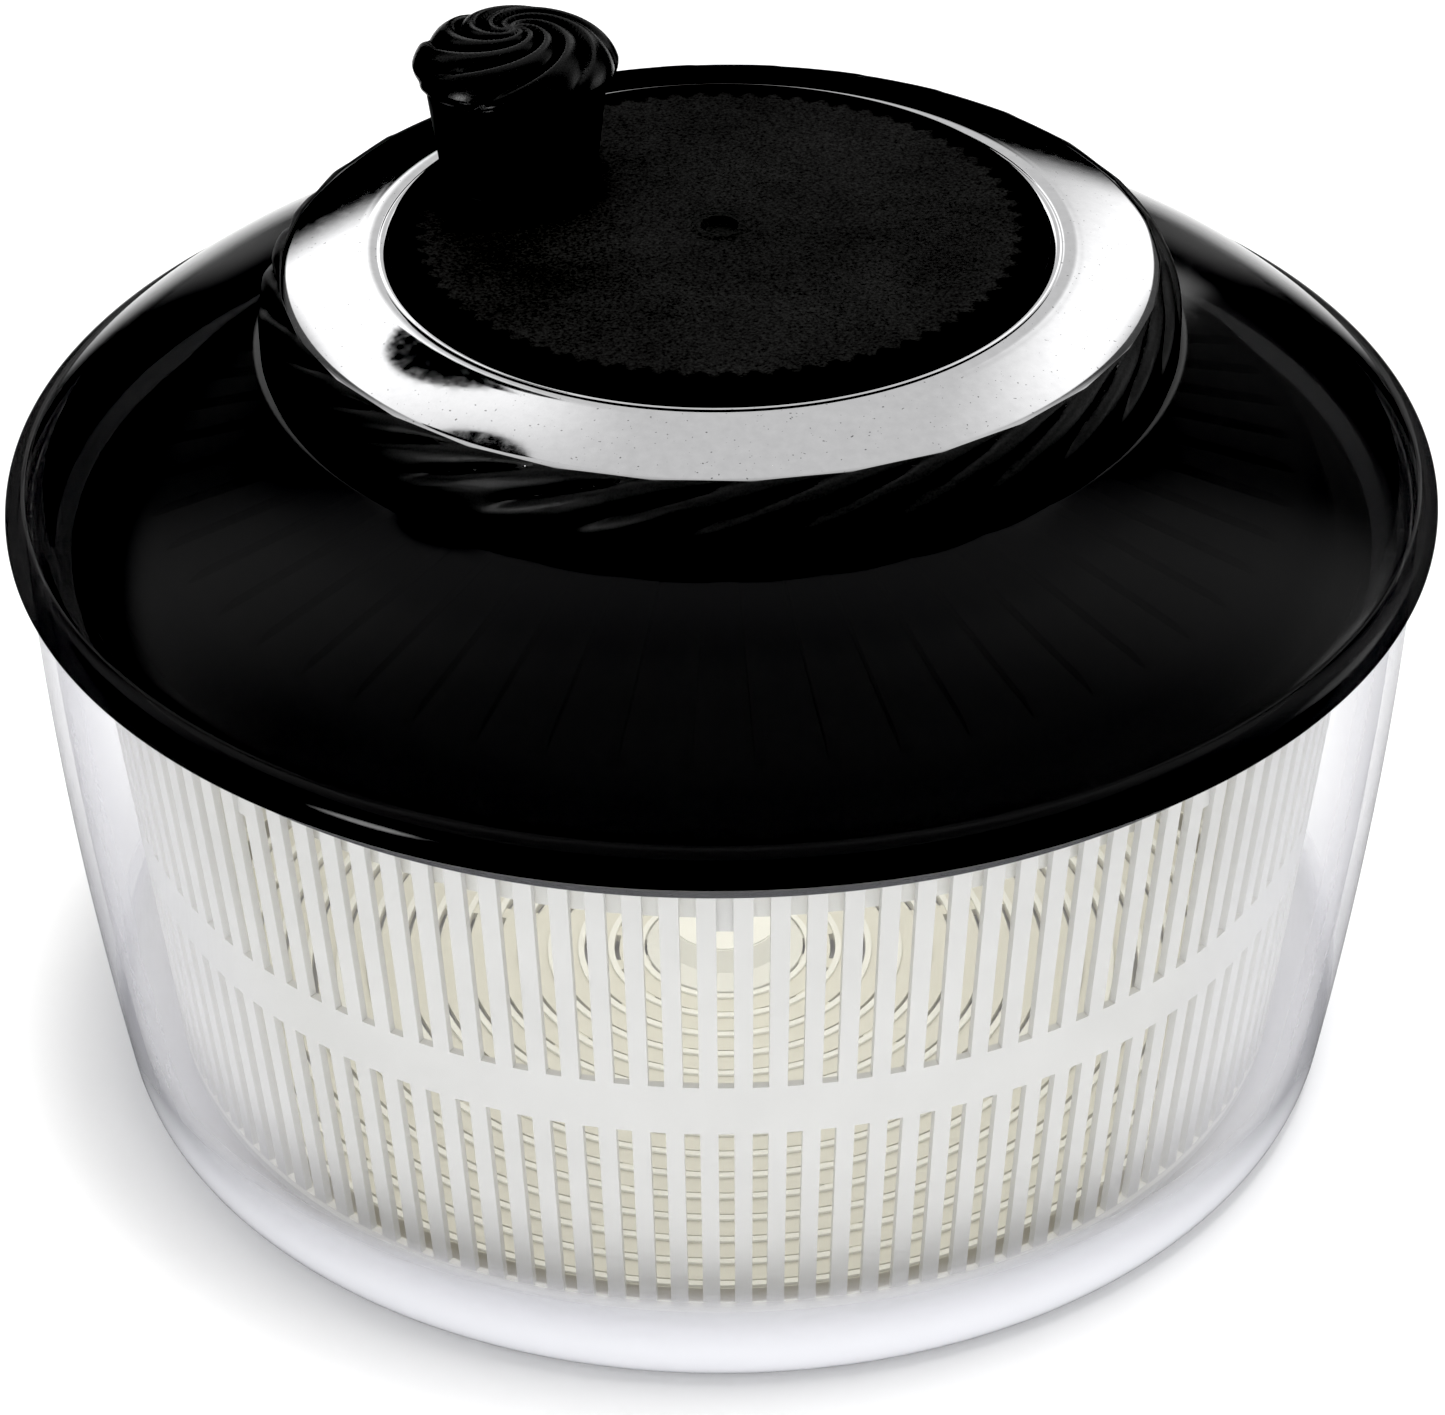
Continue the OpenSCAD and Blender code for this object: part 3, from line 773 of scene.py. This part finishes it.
def make_world():
    """A white studio, dimmer overhead. Reflections see a grey room instead, dimmer towards the
    front, with a bright window to each side behind the object, dark walls and horizon, two
    softboxes and two dark flags."""
    world = bpy.data.worlds.new("studio")
    bpy.context.scene.world = world
    world.use_nodes = True
    world.cycles.sampling_method = "NONE"
    split = add(world, "ShaderNodeSeparateXYZ")
    view = add(world, "ShaderNodeTexCoord")
    link(world, view.outputs["Generated"], split.inputs[0])
    up, back = split.outputs["Z"], split.outputs["Y"]
    soft = spread(world, up, 1.6, 0.1, 0.0, 1.0)
    across = split.outputs["X"]
    aside = calc(world, "ABSOLUTE", across)
    behind = spread(world, back, 0, 1, 0.45, 0.8, smooth=True)
    off_centre = calc(world, "MAXIMUM", calc(world, "MULTIPLY", across, -1.0),
                      calc(world, "SUBTRACT", across, 0.13))
    window = calc(world, "MULTIPLY", behind,
                  spread(world, off_centre, 0, 0.8, 0.06, 0.2, smooth=True))
    walls = calc(world, "MULTIPLY", spread(world, aside, 0, 0.94, 0.33, 0.37, smooth=True),
                 spread(world, back, 0, 1, 0.42, 0.66, smooth=True))
    room = calc(world, "MULTIPLY", calc(world, "ADD", window, 0.58),
                calc(world, "SUBTRACT", 1.0, walls))
    room = calc(world, "MULTIPLY", room, spread(world, back, 0.4, 1, -0.05, 0.4, smooth=True))
    height = calc(world, "MULTIPLY_ADD", across, 0.25, up)
    above = spread(world, height, 0.0, 1.0, 0.215, 0.32, smooth=True)
    haze = calc(world, "MULTIPLY", spread(world, aside, 0, 0.3, 0.2, 0.27, smooth=True),
                calc(world, "MULTIPLY", spread(world, aside, 1, 0, 0.29, 0.37, smooth=True),
                     spread(world, up, 1, 0, 0.0, 0.14, smooth=True)))
    mirrored = calc(world, "ADD", calc(world, "MULTIPLY", room, above), haze)
    # Direction, brightness, and the angles in degrees where each patch starts and is full
    patches = (((-0.785, -0.605, 0.14), 14, 10, 3),
               ((0.958, 0.254, 0.142), 1.2, 14, 4),
               ((-0.195, 0.735, 0.65), -4, 5.7, 4.7),
               ((-0.272, 0.522, 0.808), -4, 4.8, 3.6))
    for direction, strength, outer, inner in patches:
        facing = add(world, "ShaderNodeVectorMath", operation="DOT_PRODUCT")
        facing.inputs[1].default_value = Vector(direction).normalized()
        link(world, view.outputs["Generated"], facing.inputs[0])
        spot = spread(world, facing.outputs["Value"], 0, strength,
                      math.cos(math.radians(outer)), math.cos(math.radians(inner)), smooth=True)
        mirrored = calc(world, "ADD", mirrored, spot)
    mirrored = calc(world, "MAXIMUM", mirrored, 0.0)
    path = add(world, "ShaderNodeLightPath")
    glossy = path.outputs["Is Glossy Ray"]
    light = calc(world, "ADD", calc(world, "MULTIPLY", mirrored, glossy),
                 calc(world, "MULTIPLY", soft, calc(world, "SUBTRACT", 1.0, glossy)))
    seen = calc(world, "MAXIMUM", light, path.outputs["Is Camera Ray"])
    backdrop = world.node_tree.nodes["Background"]
    backdrop.inputs["Color"].default_value = (1, 1, 1, 1)
    link(world, seen, backdrop.inputs["Strength"])


def add_lamp(name, place, target, size, power, colour=(1, 1, 1)):
    """A soft square lamp that lights surfaces but isn't seen in them."""
    data = bpy.data.lights.new(name, "AREA")
    data.shape = "SQUARE"
    data.size = size
    data.energy = power
    data.color = colour
    lamp = bpy.data.objects.new(name, data)
    bpy.context.scene.collection.objects.link(lamp)
    lamp.location = place
    lamp.rotation_euler = (Vector(target) - Vector(place)).to_track_quat("-Z", "Y").to_euler()
    lamp.visible_camera = False
    lamp.visible_glossy = False


def make_camera():
    """The photographer's view: 34 degrees down, with a slight roll."""
    elevation, roll = math.radians(34), math.radians(-0.45)
    aim = Vector((-0.0001, 0, 0.0656))
    distance = 0.8148
    forward = Vector((0, math.cos(elevation), -math.sin(elevation)))
    data = bpy.data.cameras.new("camera")
    data.sensor_width = 36
    data.lens = 105.9
    data.clip_end = 50
    camera = bpy.data.objects.new("camera", data)
    bpy.context.scene.collection.objects.link(camera)
    turn = forward.to_track_quat("-Z", "Y").to_matrix().to_4x4() @ Matrix.Rotation(roll, 4, "Z")
    camera.matrix_world = Matrix.Translation(aim - forward * distance) @ turn
    bpy.context.scene.camera = camera


make_floor()
make_world()
add_lamp("overhead_softbox", (0.2, -0.05, 3.0), (0, 0, 0), 1.0, 94)
add_lamp("front_fill", (0, -2.6, 1.0), (0, 0, 0.05), 1.5, 6)
add_lamp("basket_glow", (0, 0, 0.113), (0, 0, 0), 0.12, 0.075, IVORY)
make_camera()
scene = bpy.context.scene
# Enough for a ray that crosses both walls of the bowl, the basket and the lid
scene.cycles.transparent_max_bounces = 24
tone = scene.view_settings
tone.view_transform = "Standard"
# Everything darker than this becomes pure black
tone.use_curve_mapping = True
tone.curve_mapping.black_level = (0.013, 0.013, 0.013)
tone.curve_mapping.update()
